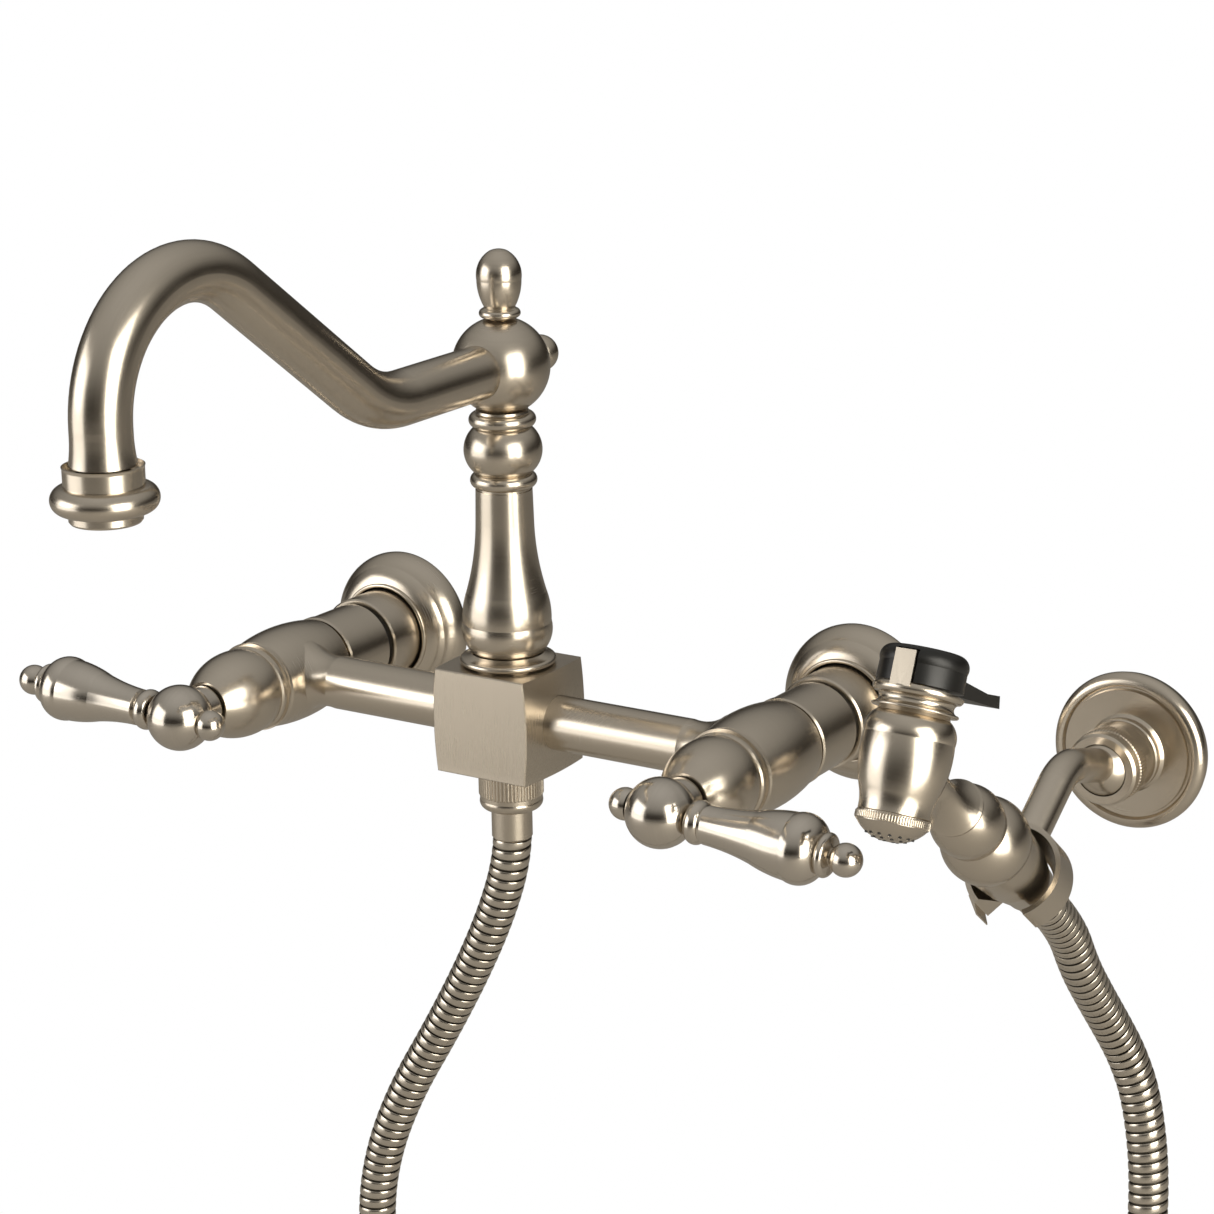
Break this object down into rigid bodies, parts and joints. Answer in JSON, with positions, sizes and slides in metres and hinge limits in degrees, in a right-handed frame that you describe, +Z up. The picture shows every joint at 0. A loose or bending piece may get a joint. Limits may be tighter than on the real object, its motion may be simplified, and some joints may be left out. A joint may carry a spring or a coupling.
{
  "type": "wall mount bridge kitchen faucet with side spray",
  "caption": "Wall-mounted bridge kitchen faucet with lever handles, a swing gooseneck spout and a side spray on a metal hose, resting in a swivel wall holder.",
  "frame": {"origin": "on the finished wall plane, midway between the two water inlets and level with their axes", "axes": "+X to the right along the wall, seen from the front, +Y into the wall, +Z up"},
  "size_m": [0.4132, 0.3035, 0.6063],
  "materials": {
    "polished_nickel": "polished nickel plate on brass",
    "satin_nickel": "satin nickel plate on brass",
    "brass": "bare machined brass",
    "seal_rubber": "black seal rubber",
    "black_plastic": "gloss black plastic",
    "white_plastic": "white plastic flow straightener",
    "stainless": "bare stainless steel",
    "hose_metal": "interlocked metal hose, satin nickel"
  },
  "bodies": {
    "faucet_body": {"wall_flange_hot": "satin_nickel", "wall_flange_cold": "satin_nickel", "inlet_coupling_hot": "satin_nickel", "inlet_coupling_cold": "satin_nickel", "union_sleeve_hot": "satin_nickel", "union_sleeve_cold": "satin_nickel", "union_washers": "seal_rubber", "valve_body_hot": "satin_nickel", "valve_body_cold": "satin_nickel", "bonnet_hot": "satin_nickel", "bonnet_cold": "satin_nickel", "cartridge_hot": "brass", "cartridge_cold": "brass", "cartridge_seals": "seal_rubber", "mixer_block": "satin_nickel", "spout_nut": "satin_nickel", "diverter_seat": "brass", "hose_nut": "satin_nickel", "hose_ferrule": "satin_nickel", "holder_flange": "satin_nickel", "holder_plate": "satin_nickel", "socket_nut": "satin_nickel", "hose_loop": "hose_metal"},
    "spout": {"spout_column": "polished_nickel", "spout_seals": "seal_rubber", "spout_rings": "polished_nickel", "ball_hub": "polished_nickel", "spout_tube": "polished_nickel", "finial": "polished_nickel", "rear_knob": "polished_nickel", "outlet_collar": "satin_nickel", "outlet_ring": "satin_nickel", "aerator_shell": "satin_nickel", "aerator_screen": "white_plastic"},
    "diverter": {"diverter_plunger": "brass"},
    "hot_handle": {"handle_hub_hot": "polished_nickel", "lever_hot": "polished_nickel", "lever_screw_hot": "polished_nickel", "spindle_hot": "brass"},
    "cold_handle": {"handle_hub_cold": "polished_nickel", "lever_cold": "polished_nickel", "lever_screw_cold": "polished_nickel", "spindle_cold": "brass"},
    "holder_arm": {"swivel_ball": "satin_nickel", "holder_arm": "satin_nickel", "holder_ring": "satin_nickel", "hose_end": "hose_metal"},
    "spray": {"spray_head": "satin_nickel", "spray_collar": "satin_nickel", "spray_lever_pin": "stainless", "spray_ring": "satin_nickel", "spray_plate": "satin_nickel", "spray_handle": "satin_nickel", "spray_connector": "satin_nickel"},
    "spray_lever": {"spray_lever": "black_plastic"},
    "spray_valve": {"spray_valve": "brass"}
  },
  "joints": [
    {"name": "spout_swing", "type": "hinge", "parent": "faucet_body", "child": "spout", "pos_m": [0, -0.0778, 0.05], "axis": [0, 0, 1], "range_deg": [-90, 90]},
    {"name": "diverter_slide", "type": "slide", "parent": "faucet_body", "child": "diverter", "axis": [0, 0, 1], "range_m": [0, 0.002]},
    {"name": "hot_turn", "type": "hinge", "parent": "faucet_body", "child": "hot_handle", "pos_m": [-0.1016, -0.1395, 0], "axis": [0, -1, 0], "range_deg": [0, 90]},
    {"name": "cold_turn", "type": "hinge", "parent": "faucet_body", "child": "cold_handle", "pos_m": [0.1016, -0.1395, 0], "axis": [0, 1, 0], "range_deg": [0, 90]},
    {"name": "holder_swivel", "type": "hinge", "parent": "faucet_body", "child": "holder_arm", "pos_m": [0.2088, -0.0225, 0], "axis": [0, 0, 1], "range_deg": [-15, 15], "deforming": ["hose_loop"]},
    {"name": "spray_lift", "type": "slide", "parent": "holder_arm", "child": "spray", "axis": [0, -0.7815, 0.6239], "range_m": [0, 0.045], "deforming": ["hose_end"]},
    {"name": "spray_lever_press", "type": "hinge", "parent": "spray", "child": "spray_lever", "pos_m": [0.2088, -0.17265, 0.07345], "axis": [-1, 0, 0], "range_deg": [0, 4], "stiffness_Nm_per_rad": 0.3, "springref_deg": -14.32},
    {"name": "spray_valve_slide", "type": "slide", "parent": "spray", "child": "spray_valve", "axis": [0, -0.4067, -0.9135], "range_m": [0, 0.0009]}
  ],
  "couplings": [
    {"joint": "spray_valve_slide", "follows": "spray_lever_press", "m_per_rad": 0.0105}
  ]
}
